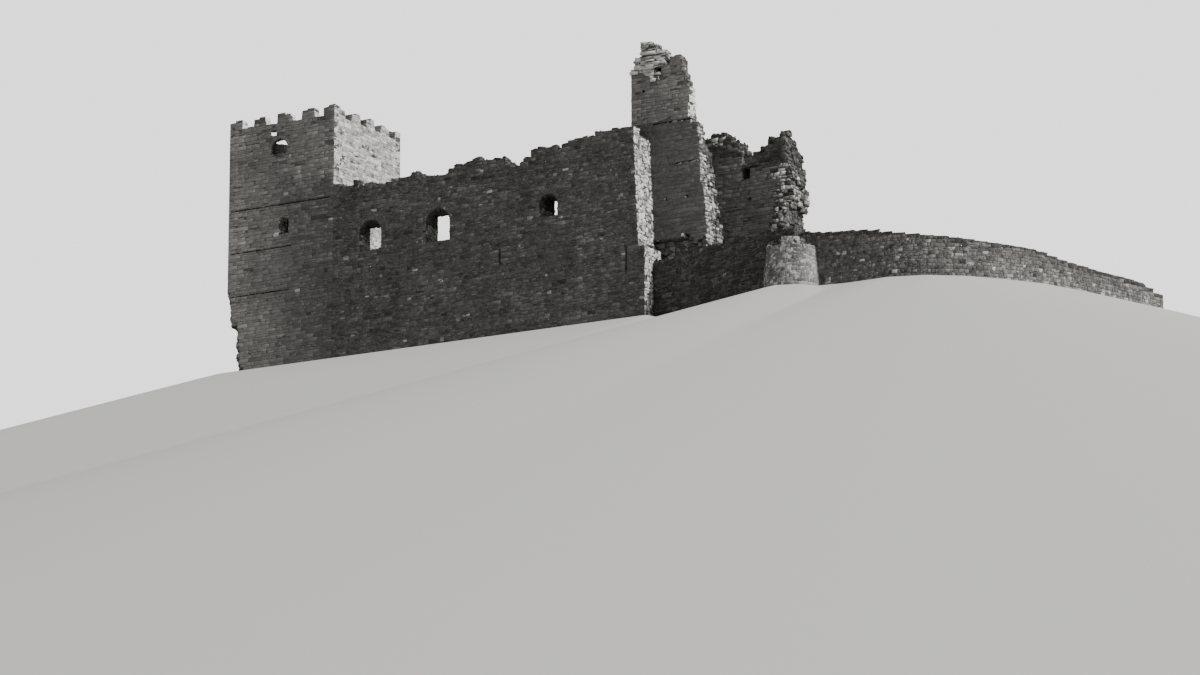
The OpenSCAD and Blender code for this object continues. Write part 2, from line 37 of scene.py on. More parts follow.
# the castle is a 1:10 model, so 100 mm here is one metre of the real wall
mm = 0.001
course = 30 * mm  # height of one course of stone, the step of every broken edge
levelFrom = 0.7   # a face whose normal has an upright part over this lies level
square = 0.998    # a face whose normal has a part over this along one axis is square to the axes

# camera, at the photograph's place: far down the slope to the right, looking up
cameraSettings = dict(
    turn=30.634, lookUp=13.249,  # degrees to the right of the front, and above level
    place=(22.9715, -34.2107, -9.3498), clip=(0.1, 600),  # metres of the model, and nearest and farthest that is seen
    lens=156.0, sensor=36.0,  # mm
)
cameraData = bpy.data.cameras.new("viewCamera")
cameraData.sensor_width, cameraData.lens = cameraSettings["sensor"], cameraSettings["lens"]
cameraData.clip_start, cameraData.clip_end = cameraSettings["clip"]
camera = bpy.data.objects.new("viewCamera", cameraData)
camera.location = cameraSettings["place"]
camera.rotation_euler = (radians(90 + cameraSettings["lookUp"]), 0, radians(cameraSettings["turn"]))
scene.collection.objects.link(camera)
scene.camera = camera


def fromHex(code):
    # sRGB to linear: c/12.92 below 0.04045, else ((c+0.055)/1.055)^2.4
    c = np.array([int(code[i:i + 2], 16) for i in (1, 3, 5)]) / 255
    linear = np.where(c <= 0.04045, c / 12.92, ((c + 0.055) / 1.055) ** 2.4)
    return (*linear.tolist(), 1.0)


def connect(tree, node, values=None, links=None):
    # a node's socket values and incoming links
    for key, value in (values or {}).items():
        node.inputs[key].default_value = value
    for key, socket in (links or {}).items():
        tree.links.new(socket, node.inputs[key])
    return node


def addNode(tree, kind, values=None, links=None, stops=None, **settings):
    # one shader node: its own settings, its values, its links and, for a ramp, its (place, hex) stops
    node = tree.nodes.new("ShaderNode" + kind)
    for key, value in settings.items():
        setattr(node, key, value)
    for i, (place, code) in enumerate(stops or []):
        elements = node.color_ramp.elements
        element = elements[i] if i < len(elements) else elements.new(place)
        element.position, element.color = place, fromHex(code)
    return connect(tree, node, values, links)


def newMaterial(name):
    # an empty material with nodes: the material, its tree and its shader
    material = bpy.data.materials.new(name)
    material.use_nodes = True
    tree = material.node_tree
    return material, tree, tree.nodes["Principled BSDF"]


def noise(tree, place, sizeMm, detail, roughness=0.5, output="Fac"):
    # noise whose features are about this many mm wide
    return addNode(tree, "TexNoise", {"Scale": 1 / (sizeMm * mm), "Detail": detail, "Roughness": roughness},
                   {"Vector": place}).outputs[output]


def spread(tree, value, start, end, top):
    # from 0 to top while the value goes from start to end
    return addNode(tree, "MapRange", {"From Min": start, "From Max": end, "To Max": top},
                   {"Value": value}).outputs["Result"]


def washed(tree, colour, mask, code):
    # colour (1 - mask) + hex colour times mask
    return addNode(tree, "Mix", {"B": fromHex(code)}, {"Factor": mask, "A": colour},
                   data_type="RGBA").outputs["Result"]


def stretched(tree, place, upright):
    # the place with its height times a factor: over 1 a pattern gets flat, under 1 it is drawn out downwards
    return addNode(tree, "Mapping", {"Scale": (1, 1, upright)}, {"Vector": place}).outputs["Vector"]


def bump(tree, height, strength, depthMm, under=None):
    # the normal of a bump of this depth, over the one under it
    links = {"Height": height, **({"Normal": under} if under else {})}
    return addNode(tree, "Bump", {"Strength": strength, "Distance": depthMm * mm}, links).outputs["Normal"]


def stoneMaterial(name, look):
    # limestone blocks: tone of the stone + grain + mottle on a ramp, under rain stains and pale lichen, and pitted
    material, tree, shader = newMaterial(name)
    place = addNode(tree, "TexCoord").outputs["Object"]
    shade = addNode(tree, "Attribute", attribute_name="tone").outputs["Fac"]
    grain = noise(tree, place, look["grainMm"], 6, 0.7)
    mottle = noise(tree, stretched(tree, place, look["mottleFlat"]), look["mottleMm"], 4, 0.6)
    for pattern, amount in ((grain, look["grainTone"]), (mottle, look["mottleTone"])):
        centred = addNode(tree, "Math", {1: 0.5}, {0: pattern}, operation="SUBTRACT").outputs[0]
        shade = addNode(tree, "Math", {1: amount}, {0: centred, 2: shade}, operation="MULTIPLY_ADD").outputs[0]
    colour = addNode(tree, "ValToRGB", links={"Fac": shade}, stops=look["stops"]).outputs["Color"]
    stain = noise(tree, stretched(tree, place, look["stainDrawn"]), look["stainMm"], 6, 0.65)
    colour = washed(tree, colour, spread(tree, stain, *look["stainFrom"], look["stain"]), look["stainHex"])
    spots = noise(tree, place, look["lichenMm"], 3)
    colour = washed(tree, colour, spread(tree, spots, *look["lichenFrom"], look["lichen"]), look["lichenHex"])
    low, high = look["roughness"]
    rough = addNode(tree, "MapRange", {"To Min": low, "To Max": high}, {"Value": grain}).outputs["Result"]
    pits = noise(tree, place, look["pitMm"], 5, 0.65)
    skin = bump(tree, grain, 0.4, look["grainDepthMm"], bump(tree, pits, 0.6, look["pitDepthMm"]))
    connect(tree, shader, {"IOR": 1.5, "Specular IOR Level": 0.2},
            {"Base Color": colour, "Roughness": rough, "Normal": skin})
    return material


def mortarMaterial(name, look):
    # lime mortar with small rubble showing through: cells of stone, pushed out of place, in a gritty bed
    material, tree, shader = newMaterial(name)
    place = addNode(tree, "TexCoord").outputs["Object"]
    wobble = noise(tree, place, look["wobbleMm"], 3, output="Color")
    pushed = addNode(tree, "VectorMath", {1: (look["pushMm"] * mm,) * 3}, {0: wobble, 2: place},
                     operation="MULTIPLY_ADD").outputs[0]
    cells = addNode(tree, "TexVoronoi", {"Scale": 1 / (look["cellMm"] * mm)}, {"Vector": pushed}).outputs["Distance"]
    lump = spread(tree, cells, *look["lumpFrom"], 1.0)
    grit = noise(tree, place, look["gritMm"], 6, 0.7)
    shade = addNode(tree, "Math", {1: 0.5}, {0: lump, 2: grit}, operation="MULTIPLY_ADD").outputs[0]
    colour = addNode(tree, "ValToRGB", links={"Fac": shade}, stops=look["stops"]).outputs["Color"]
    sand = bump(tree, grit, 0.5, look["gritDepthMm"], bump(tree, lump, 0.7, look["lumpDepthMm"]))
    connect(tree, shader, {"Roughness": 0.95, "Specular IOR Level": 0.2}, {"Base Color": colour, "Normal": sand})
    return material


def flagMaterial(name, look):
    # worn limestone flags in rows, with thin mortar joints and dirt in the hollows
    material, tree, shader = newMaterial(name)
    place = addNode(tree, "TexCoord").outputs["Object"]
    width, row = look["flagMm"]
    colours = dict(zip(("Color1", "Color2", "Mortar"), map(fromHex, look["colours"])))
    sizes = {"Scale": 1.0, "Brick Width": width * mm, "Row Height": row * mm, "Mortar Size": look["jointMm"] * mm}
    flags = addNode(tree, "TexBrick", {**sizes, **colours}, {"Vector": place})
    grain = noise(tree, place, look["grainMm"], 6, 0.7)
    worn = addNode(tree, "Mix", {"B": fromHex(look["dirtHex"])}, {"A": flags.outputs["Color"], "Factor": grain},
                   data_type="RGBA", blend_type="MULTIPLY").outputs["Result"]
    joints = addNode(tree, "Bump", {"Strength": 0.5, "Distance": look["depthMm"] * mm},
                     {"Height": flags.outputs["Fac"]}, invert=True).outputs["Normal"]
    connect(tree, shader, {"Roughness": 0.9}, {"Base Color": worn, "Normal": joints})
    return material


# weathered limestone facing
facingLook = dict(
    grainMm=5, grainTone=0.3, grainDepthMm=0.6, mottleMm=46, mottleFlat=2.4, mottleTone=0.5,
    stainMm=380, stainDrawn=0.4, stainFrom=(0.42, 0.66), stain=0.4, stainHex="#454442",
    lichenMm=40, lichenFrom=(0.62, 0.72), lichen=0.25, lichenHex="#a9a8a3",
    pitMm=12, pitDepthMm=1.4, roughness=(0.78, 0.96),
    stops=[(0.0, "#393937"), (0.35, "#636260"), (0.65, "#858481"), (1.0, "#c4c3bf")],
)
facingStone = stoneMaterial("weatheredLimestone", facingLook)
# the same limestone, darker and more stained, where walls are rough
darkStone = stoneMaterial("darkWeatheredLimestone", dict(
    facingLook, mottleTone=0.9, stain=0.5, stainHex="#373735", lichen=0.2,
    stops=[(0.0, "#31312f"), (0.35, "#555452"), (0.65, "#747370"), (1.0, "#bab9b5")]))
# limestone of the keep's right face, painted pale there as painted sunlight on the face toward the sun, with dark
# blotches
sunPaintedLook = dict(
    facingLook, stain=0.35, stainHex="#7b7a77", grainTone=0.5, mottleMm=52, mottleFlat=1.2, mottleTone=1.7,
    pitDepthMm=2.0, stops=[(0.0, "#5a5957"), (0.3, "#979693"), (0.6, "#c6c5c2"), (1.0, "#e9e8e5")])
sunPaintedStone = stoneMaterial("limestonePaintedSunlit", sunPaintedLook)
# limestone painted almost white on faces toward the sun: painted sunlight
paintedSunWhiteStone = stoneMaterial("limestonePaintedSunWhite", dict(
    sunPaintedLook, stain=0.1, grainTone=0.2, mottleTone=0.3, lichen=0.0,
    stops=[(0.0, "#aaa9a6"), (0.4, "#d8d7d4"), (1.0, "#f4f3f0")]))
# limestone of the outer wall, in broad blotches
outerStone = stoneMaterial("outerWallLimestone", dict(facingLook, mottleMm=60, mottleFlat=1.2, mottleTone=1.2))
# freshly broken limestone of the core
rubbleStone = stoneMaterial("brokenRubbleLimestone", dict(
    facingLook, mottleTone=0.9, stain=0.2, pitMm=9, pitDepthMm=3.0, lichen=0.2, grainTone=0.5,
    stops=[(0.0, "#42413f"), (0.3, "#7c7b78"), (0.65, "#b9b8b4"), (1.0, "#eae9e5")]))
# lime mortar and rubble core, dark with age
mortarLook = dict(cellMm=16, gritMm=3, wobbleMm=14, pushMm=8, lumpFrom=(0.75, 0.1), lumpDepthMm=4, gritDepthMm=1,
                  stops=[(0.2, "#3a3a38"), (0.6, "#555452"), (1.0, "#747370")])
mortarDark = mortarMaterial("limeMortarDark", mortarLook)
# lime mortar, painted pale on the keep's sunlit face as painted sunlight, and the pale mortar of the turret
mortarPaleAndSunPainted = mortarMaterial("limeMortarPaleAndSunPainted", dict(
    mortarLook, stops=[(0.2, "#7a7976"), (0.6, "#a3a29f"), (1.0, "#c6c5c1")]))
# limestone flags of the floors, in two greys, and their joints
flagStone = flagMaterial("limestoneFlags", dict(
    flagMm=(70, 50), jointMm=1.6, grainMm=6, depthMm=2, dirtHex="#77746c", colours=("#86847d", "#9c9a92", "#55534d")))
print("castle: materials made")

# every CAD node shows as the mortar and core between the stones laid on it
# the keep's right wall and parapet face the sun and their mortar is painted pale as painted sunlight; the turret's is
# pale
paleNodes = ("keep_right_wall", "keep_right_parapet", "round_turret")
floorNodes = ("keep_ground_floor", "keep_window_floor", "keep_roof_deck")
for name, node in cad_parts.items():
    node.data.materials.clear()
    node.data.materials.append(flagStone if name in floorNodes else mortarPaleAndSunPainted if name in paleNodes else mortarDark)

# the kinds of stonework. row and length: a usual stone; quoin: long and short corner stones; thin: share of stones
# that are two thin ones; lost: share that is missing; wrap: how far an end stone passes the corner; patch: width of
# the patches that have their own level joints; gap: half a joint; bevel: worn edge; relief: how far faces stand out;
# sink: how far edges go in; slant: how far the left side stands out more; skew: unevenness; tone: mean and spread;
# bright and dim: shares of much paler and much darker stones
wholeFace = 9.0  # a patch wider than any face
smooth = dict(
    row=28 * mm, length=84 * mm, quoin=(90 * mm, 50 * mm), thin=0.15, lost=0.0, wrap=1.2 * mm,
    patch=None, gap=0.3 * mm, bevel=2.4 * mm, relief=(0.4 * mm, 1.5 * mm), sink=0.3 * mm, slant=0.0,
    skew=0.9 * mm, tone=(0.6, 0.05), bright=0.004, dim=0.01, material=facingStone, slot="stone_grey",
)
weathered = dict(smooth, row=26 * mm, length=60 * mm, thin=0.2, bevel=2.8 * mm, relief=(0.6 * mm, 2.6 * mm),
                 sink=0.6 * mm, skew=1.5 * mm, tone=(0.58, 0.08), slot="stone_dark")
rough = dict(weathered, length=64 * mm, quoin=None, thin=0.25, patch=0.3, relief=(0.6 * mm, 3.0 * mm), sink=0.8 * mm,
             skew=2.2 * mm, tone=(0.45, 0.1), bright=0.018, dim=0.03, material=darkStone)
reveal = dict(rough, length=40 * mm, patch=None, relief=(0.5 * mm, 9 * mm), bevel=4 * mm, wrap=0.0, skew=3 * mm,
              tone=(0.42, 0.08), bright=0.0)
# sunlit: the faces toward the sun, in paler stone and tone: painted sunlight
sunlit = dict(smooth, row=30 * mm, length=60 * mm, quoin=None, thin=0.25, patch=0.24, gap=0.2 * mm,
              relief=(0.4 * mm, 1.8 * mm), skew=2.0 * mm, tone=(0.68, 0.18), bright=0.02, dim=0.13, material=sunPaintedStone,
              slot="stone_pale")
# paintedSunWhite: stones toward the sun painted almost white, painted sunlight
paintedSunWhite = dict(sunlit, tone=(0.8, 0.15), dim=0.0, material=paintedSunWhiteStone)
coping = dict(smooth, row=35 * mm, length=52 * mm, quoin=None, patch=wholeFace, bevel=5 * mm,
              relief=(0.5 * mm, 6 * mm), tone=(0.6, 0.1))
rubble = dict(smooth, row=33 * mm, length=38 * mm, quoin=None, patch=0.06, thin=0.05, lost=0.08, wrap=4 * mm,
              gap=1 * mm, bevel=4.5 * mm, relief=(0.5 * mm, 11 * mm), sink=3 * mm, skew=6 * mm, tone=(0.46, 0.28),
              bright=0.08, dim=0.1, material=rubbleStone, slot="stone_pale")
crown = dict(rubble, row=35 * mm, length=36 * mm, patch=0.055, thin=0.0, lost=0.04, slant=20 * mm,
             relief=(0.5 * mm, 15 * mm), skew=8 * mm, tone=(0.72, 0.2))
squared = dict(rubble, length=36 * mm, patch=0.05, lost=0.02, gap=0.4 * mm, bevel=3.5 * mm,
               relief=(0.5 * mm, 6 * mm), sink=1.5 * mm, tone=(0.88, 0.24), dim=0.2)
shadedRubble = dict(rubble, relief=(1 * mm, 8 * mm), tone=(0.36, 0.14), bright=0.02, material=darkStone,
                    slot="stone_dark")
brokenTop = dict(shadedRubble, row=42 * mm, length=34 * mm, lost=0.05, thin=0.0, bevel=8 * mm,
                 relief=(0.5 * mm, 20 * mm), skew=6 * mm)
kinds = dict(
    Smooth=smooth, Weathered=weathered, Rough=rough, RearRough=rough, Reveal=reveal, Sunlit=sunlit,
    Bleached=paintedSunWhite, BrokenTop=brokenTop, Coping=coping, Rubble=rubble, Crown=crown,
    Squared=squared, ShadedRubble=shadedRubble,
)

# how stones are laid. rows: shares of the usual height in a coursed wall, and how many; patchRows: shares in a patch;
# lengths: shares of the usual length; quoinFrom: shortest span with corner stones, in stones; tooth: how far a row
# reaches into the next patch, in stones; least: smallest stone; jointHalf and jointClear: half the height of the great
# tower's deep joint, and how near to it there is no other
laying = dict(rows=(0.68, 1.32, 140), patchRows=(0.6, 1.5), lengths=(0.45, 1.8), quoinFrom=3.2, tooth=0.5,
              least=5 * mm, jointHalf=4 * mm, jointClear=9 * mm)


def sums(parts):
    # running sums of the parts, from 0 on
    return np.concatenate([[0], np.cumsum(parts)])


def unevenRows(row):
    # heights of the level joints from the ground up: sums of the row height times an uneven factor
    return sums(np.random.default_rng(int(row / mm)).uniform(*laying["rows"])) * row


def rowOf(places, bottom, top):
    # a row of stones between neighbouring places, as (left, right, bottom, top)
    return np.stack(np.broadcast_arrays(places[:-1], places[1:], bottom, top), axis=1)


def cornersOf(stones, place):
    # corners in space of (left, right, bottom, top) stones: place(along, up) at the four pairs, going round
    left, right, bottom, top = stones.T
    return np.stack([place(left, bottom), place(right, bottom), place(right, top), place(left, top)], axis=1)


def widths(corners):
    # length of each stone's lower edge
    return np.linalg.norm(corners[:, 1] - corners[:, 0], axis=1)


def nodeTriangles(name):
    # corner points of a node's triangles, as (triangles, 3, 3)
    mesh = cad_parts[name].data
    mesh.calc_loop_triangles()
    points = np.empty(len(mesh.vertices) * 3)
    mesh.vertices.foreach_get("co", points)
    corners = np.empty(len(mesh.loop_triangles) * 3, dtype=np.int32)
    mesh.loop_triangles.foreach_get("vertices", corners)
    return points.reshape(-1, 3)[corners.reshape(-1, 3)]


def facePlanes(names):
    # flat faces of the nodes: triangles grouped by normal and distance, each with axes U along, V up and N out
    triangles = np.concatenate([nodeTriangles(n) for n in names])
    cross = np.cross(triangles[:, 1] - triangles[:, 0], triangles[:, 2] - triangles[:, 0])
    size = np.linalg.norm(cross, axis=1)
    real = size > 1e-9
    triangles, cross, size = triangles[real], cross[real], size[real]
    normal = cross / size[:, None]
    distance = np.einsum("ij,ij->i", normal, triangles[:, 0])
    keys = np.concatenate([np.round(normal, 3), np.round(distance[:, None] / (0.3 * mm))], axis=1)
    keys, group = np.unique(keys + 0.0, axis=0, return_inverse=True)
    planes = []
    for g in range(len(keys)):
        mine = group.ravel() == g
        n = normal[mine][np.argmax(size[mine])]
        u = np.array([1.0, 0, 0]) - n * n[0] if abs(n[2]) > levelFrom else np.cross([0, 0, 1.0], n)
        u /= np.linalg.norm(u)
        v = np.cross(n, u)
        flat = np.stack([triangles[mine] @ u, triangles[mine] @ v], axis=-1)
        planes.append(dict(n=n, u=u, v=v, d=float(distance[mine].mean()), flat=flat,
                           low=triangles[mine].min((0, 1)), high=triangles[mine].max((0, 1))))
    return planes


def spansAt(flat, level):
    # where the line v = level crosses the triangles, merged into spans of u
    a, b = flat, np.roll(flat, -1, axis=1)
    da, db = a[..., 1] - level, b[..., 1] - level
    hit = da * db < 0
    u = a[..., 0] + (b[..., 0] - a[..., 0]) * da / np.where(hit, da - db, 1)
    cut = hit.sum(1) == 2
    low, high = np.where(hit, u, np.inf).min(1)[cut], np.where(hit, u, -np.inf).max(1)[cut]
    merged = []
    for i in np.argsort(low):
        if merged and low[i] <= merged[-1][1] + 0.4 * mm:
            merged[-1][1] = max(merged[-1][1], high[i])
        else:
            merged.append([low[i], high[i]])
    return merged


def both(first, second):
    # spans that are in both lists
    pairs = [[max(a[0], b[0]), min(a[1], b[1])] for a in first for b in second]
    return [pair for pair in pairs if pair[1] - pair[0] > 0]


def without(spans, holes):
    # spans with the holes taken out
    for low, high in holes:
        parts = [part for a, b in spans for part in ([a, min(b, low)], [max(a, high), b])]
        spans = [part for part in parts if part[1] - part[0] > 0]
    return spans


def rowSpans(plane, against, low, high, corners):
    # spans that are wall all the way from low to high, past each corner between, with no other wall against them
    levels = [low + 0.9 * mm, (low + high) / 2 + 0.1 * mm, high - 0.9 * mm]
    levels += [c + side for c in corners if low + 2 * mm < c < high - 2 * mm for side in (-0.8 * mm, 0.8 * mm)]
    spans = spansAt(plane["flat"], levels[0])
    for level in levels[1:]:
        spans = both(spans, spansAt(plane["flat"], level))
    for other, alongSign, upSign in against:
        for level in levels:
            holes = spansAt(other["flat"], upSign * level)
            spans = without(spans, [sorted((alongSign * a, alongSign * b)) for a, b in holes])
    return spans


def divide(low, high, length, rng, quoin):
    # uneven lengths that fill a span, with a long or short corner stone at its ends where quoin is set
    total = high - low
    if quoin and total > laying["quoinFrom"] * length:
        return np.concatenate([[low], divide(low + quoin[0], high - quoin[1], length, rng, None), [high]])
    count = max(1, int(round(total / length)))
    parts = rng.uniform(*laying["lengths"], count)
    return low + sums(parts) / parts.sum() * total


# wedge stones of arches: depth, length along the arch, width inwards
archRing = dict(depth=28 * mm, length=24 * mm, inward=50 * mm)


def patchesOf(plane, style, rng):
    # (left, right, level joints) of each patch: one for coursed walls, and for random ones each with its own joints
    flat = plane["flat"]
    (left, bottom), (right, top) = flat.min((0, 1)), flat.max((0, 1))
    if style["patch"] is None and abs(plane["n"][2]) < 0.01:
        edges = unevenRows(style["row"])
        past = 1.4 * style["row"]  # so that a row which the edge cuts is kept
        edges = edges[(edges > bottom - past) & (edges < top + past)]
        return [(left - 1, right + 1, edges)]
    borders = divide(left, right, style["patch"] or wholeFace, rng, None)
    patches = []
    for a, b in zip(borders[:-1], borders[1:]):
        parts = rng.uniform(*laying["patchRows"], max(1, int(round((top - bottom) / style["row"]))))
        patches.append((a, b, bottom + sums(parts) / parts.sum() * (top - bottom)))
    patches[0], patches[-1] = (left - 1, *patches[0][1:]), (patches[-1][0], right + 1, patches[-1][2])
    return patches


def layPlane(plane, against, style, rng, arches=(), joint=None):
    # rows of stones over one flat face, as (left, right, bottom, top) in its U and V, then as corners in space:
    # P = u U + v V + d N
    rows, flat, least = [], plane["flat"], laying["least"]
    bottom, top = flat[..., 1].min(), flat[..., 1].max()
    corners = np.unique(np.round(flat[..., 1].ravel() / mm)) * mm
    for patchLeft, patchRight, edges in patchesOf(plane, style, rng):
        if joint:
            edges = edges[np.abs(edges - joint) > laying["jointClear"]]
            edges = np.sort([*edges, joint - laying["jointHalf"], joint + laying["jointHalf"]])
        for index, (low, high) in enumerate(zip(edges[:-1], edges[1:])):
            if high < bottom or low > top or (joint and abs((low + high) / 2 - joint) < 1 * mm):
                continue
            reach = [[patchLeft - rng.uniform(0, laying["tooth"]) * style["length"],
                      patchRight + rng.uniform(0, laying["tooth"]) * style["length"]]]
            levels = [c for c in corners if low + 2 * mm < c < high - 1 * mm]
            full = rowSpans(plane, against, low, high, corners)
            bands = [(low, high, full)]
            if levels or low < bottom or high > top:
                cuts = [max(low, bottom), *levels, min(high, top)]
                bands += [(a, b, without(rowSpans(plane, against, a, b, corners), full))
                          for a, b in zip(cuts[:-1], cuts[1:]) if b - a > least]
            for a, b, spans in bands:
                for middle, spring, radius, _ in arches:
                    outer = radius + archRing["depth"]
                    if b > spring and a < spring + outer:
                        across = np.sqrt(outer ** 2 - max(0.0, a - spring) ** 2)
                        spans = without(spans, [[middle - across, middle + across]])
                for left, right in both(spans, reach):
                    if right - left < least:
                        continue
                    odd = (index + (abs(plane["n"][0]) > 0.5)) % 2
                    quoin = (style["quoin"][odd], style["quoin"][1 - odd]) if style["quoin"] else None
                    length = style["length"] * max(0.6, (b - a) / course)
                    places = divide(left, right, length, rng, quoin)
                    row = rowOf(places, a, b)
                    row[0, 0] -= style["wrap"]
                    row[-1, 1] += style["wrap"]
                    rows.append(row)
    if not rows:
        return np.empty((0, 4, 3))
    rows = np.concatenate(rows)
    # some stones are two thin ones, one on the other
    thin = (rng.random(len(rows)) < style["thin"]) & (rows[:, 3] - rows[:, 2] > 0.8 * course)
    halves = rows[thin].copy()
    middle = (rows[thin, 2] + rows[thin, 3]) / 2 + rng.uniform(-2, 2, thin.sum()) * mm
    rows[thin, 3], halves[:, 2] = middle, middle
    rows = np.concatenate([rows, halves])
    rows = rows[rng.random(len(rows)) >= style["lost"]]
    return cornersOf(rows, lambda u, v: u[:, None] * plane["u"] + v[:, None] * plane["v"] + plane["d"] * plane["n"])


def archStones(plane, arch):
    # wedge stones of an arch: on the face, from radius r to r + depth; under it, at radius r, from the face to the back
    middle, spring, radius, deep = arch
    u, v, n = plane["u"], plane["v"], plane["n"]
    count = int(round(pi * (radius + archRing["depth"] / 2) / archRing["length"])) | 1
    angle = np.linspace(pi, 0, count + 1)
    ring = np.cos(angle)[:, None] * u + np.sin(angle)[:, None] * v
    centre = middle * u + spring * v + plane["d"] * n
    inner, outer = centre + radius * ring, centre + (radius + archRing["depth"]) * ring
    corners = [np.stack([inner[:-1], inner[1:], outer[1:], outer[:-1]], axis=1)]
    normals = [np.broadcast_to(n, (count, 3))]
    cuts = np.linspace(0, deep, max(1, int(round(deep / archRing["inward"]))) + 1)
    for near, far in zip(cuts[:-1], cuts[1:]):
        front, back = inner - near * n, inner - far * n
        corners.append(np.stack([back[:-1], back[1:], front[1:], front[:-1]], axis=1))
        normals.append(-(ring[:-1] + ring[1:]) / 2)
    return np.concatenate(corners), np.concatenate(normals)


# tones of the odd stones, the longest stone that can be bright, and how strong the slow drift is
toneRules = dict(bright=0.5, dim=-0.28, brightUpTo=60 * mm, drift=0.018)


def tonesOf(corners, style, shift, rng):
    # one tone a stone: mean + spread times a bell curve, a slow drift in sine waves, and a few bright and dim stones
    x, y, z = corners.mean(1).T
    drift = (np.sin(5.1 * x + 2.3 * y + 1.0) + np.sin(7.3 * z + 2.9 * x + 0.6)
             + np.sin(13.7 * z - 16.1 * y + 11 * x + 2.2))
    mean, spreadOut = style["tone"]
    tones = mean + spreadOut * rng.normal(0, 1, len(x)).clip(-2, 2) + toneRules["drift"] * drift + shift
    odd = rng.random(len(x))
    short = widths(corners) < toneRules["brightUpTo"]
    tones = tones + np.where(short & (odd < style["bright"]), toneRules["bright"],
                             np.where(odd > 1 - style["dim"], toneRules["dim"], 0))
    return tones.clip(0, 1)


def halved(corners, normals, limit):
    # stones longer than the limit are cut in two at their middle: (c0 + c1) / 2 below and (c3 + c2) / 2 above
    long = widths(corners) > limit
    below, above = corners[long][:, :2].mean(1), corners[long][:, 2:].mean(1)
    left, right = corners[long].copy(), corners[long].copy()
    left[:, 1], left[:, 2], right[:, 0], right[:, 3] = below, above, below, above
    return np.concatenate([corners[~long], left, right]), np.concatenate([normals[~long], normals[long], normals[long]])


# shape of a block: the largest shares that gap and worn edge take, how uneven its relief is, how far its face slides
block = dict(gapMost=0.2, edgeMost=0.42, uneven=(0.65, 1.25), slide=0.8, points=16, triangles=28)


def stoneMesh(name, corners, normals, style, shift, rng):
    # one block per four corners: P(s,t) between the corners on a 4 by 4 grid, whose edge is sunk below the mortar
    # and whose inner four points stand out by the relief, closed by a face at the back
    count, tones = len(corners), tonesOf(corners, style, shift, rng)
    corners = corners + rng.uniform(-1, 1, corners.shape) * style["skew"]
    height = np.linalg.norm(corners[:, 3] - corners[:, 0], axis=1)
    def stops(size):
        # shares of the size where the four lines of the grid are
        gap = np.minimum(style["gap"] / size, block["gapMost"])
        edge = np.minimum((style["gap"] + style["bevel"]) / size, block["edgeMost"])
        return np.stack([gap, edge, 1 - edge, 1 - gap], axis=1)
    s, t = stops(widths(corners))[:, None, :, None], stops(height)[:, :, None, None]
    a, b, c, d = (corners[:, None, None, i] for i in range(4))
    grid = (1 - s) * (1 - t) * a + s * (1 - t) * b + s * t * c + (1 - s) * t * d
    relief = rng.uniform(*style["relief"], count)[:, None, None] * rng.uniform(*block["uneven"], (count, 4, 4))
    relief[:, :, 1] += style["slant"] * rng.random(count)[:, None]
    ring = np.ones((4, 4), bool)
    ring[1:3, 1:3] = False
    lift = np.where(ring, -style["sink"], relief)
    slide = rng.uniform(-1, 1, (count, 4, 4, 3)) * style["skew"] * block["slide"]
    points = (grid + lift[..., None] * normals[:, None, None] + slide * ~ring[..., None]).reshape(-1, 3)
    points[:, 2] = np.maximum(points[:, 2], 0)
    # nine faces in front, and one of twelve corners at the back
    base = np.arange(block["points"]).reshape(4, 4)
    quads = np.stack([base[:-1, :-1], base[:-1, 1:], base[1:, 1:], base[1:, :-1]], axis=-1).reshape(-1, 4)
    back = np.array([0, 4, 8, 12, 13, 14, 15, 11, 7, 3, 2, 1])
    first = np.arange(count)[:, None] * block["points"]
    loops = np.concatenate([(first[:, :, None] + quads[None]).reshape(count, -1), first + back], axis=1).ravel()
    sizes = np.tile(np.array([4] * 9 + [12]), count)
    mesh = bpy.data.meshes.new(name)
    mesh.vertices.add(len(points))
    mesh.vertices.foreach_set("co", points.ravel())
    mesh.loops.add(len(loops))
    mesh.loops.foreach_set("vertex_index", loops)
    mesh.polygons.add(len(sizes))
    mesh.polygons.foreach_set("loop_start", np.concatenate([[0], np.cumsum(sizes)[:-1]]))
    mesh.polygons.foreach_set("loop_total", sizes)
    mesh.update(calc_edges=True)
    mesh.attributes.new("tone", "FLOAT", "POINT").data.foreach_set("value", np.repeat(tones, block["points"]))
    mesh.materials.append(style["material"])
    piece = bpy.data.objects.new(name, mesh)
    scene.collection.objects.link(piece)
    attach(piece, "root")
    print("castle:", name, count, "stones,", count * block["triangles"], "triangles")


# round arches by the face they are in, as its normal along x and y and its distance in mm: (middle along U,
# springing height, radius, depth of the soffit), all in metres
archFaces = {
    (0, -1, -490): [(-0.020, 1.821, 0.078, 0.03), (0.866, 0.996, 0.105, 0.06), (1.505, 0.9995, 0.1125, 0.06),
                    (2.530, 1.0085, 0.0845, 0.06)],
    (1, 0, 510): [(0.125, 0.200, 0.055, 0.20)],
}


def inside(plane, box):
    # whether a whole face is in the box between two corners
    return bool((plane["low"] > box[0]).all() and (plane["high"] < box[1]).all())


def stonesIn(box, *middle):
    # which middles of stones are in the box between two corners
    return np.all([(m > low) & (m < high) for m, low, high in zip(middle, *box)], axis=0)


def gradient(value, amount, start, length):
    # amount times (value - start) / length, which is kept from 0 to 1
    return amount * ((value - start) / length).clip(0, 1)


# keep: boxes as two corners, and the lowest point of the highest merlons at the right, painted almost white above it as
# painted sunlight
robbedCorner = ((-0.52, -0.50, -0.01), (-0.33, -0.19, 0.69))
keepRooms = ((-0.312, -0.292, -0.01), (0.312, 0.292, 1.738))
keepWindow = ((-0.025, -0.495, 1.08), (0.09, -0.285, 1.255))
keepJambs = ((-0.04, -0.48, 1.07), (0.10, -0.28, 1.26))
keepOpening = ((-0.12, -0.495, 1.77), (0.08, -0.415, 1.91))
paintedSunWhiteFrom = 1.99


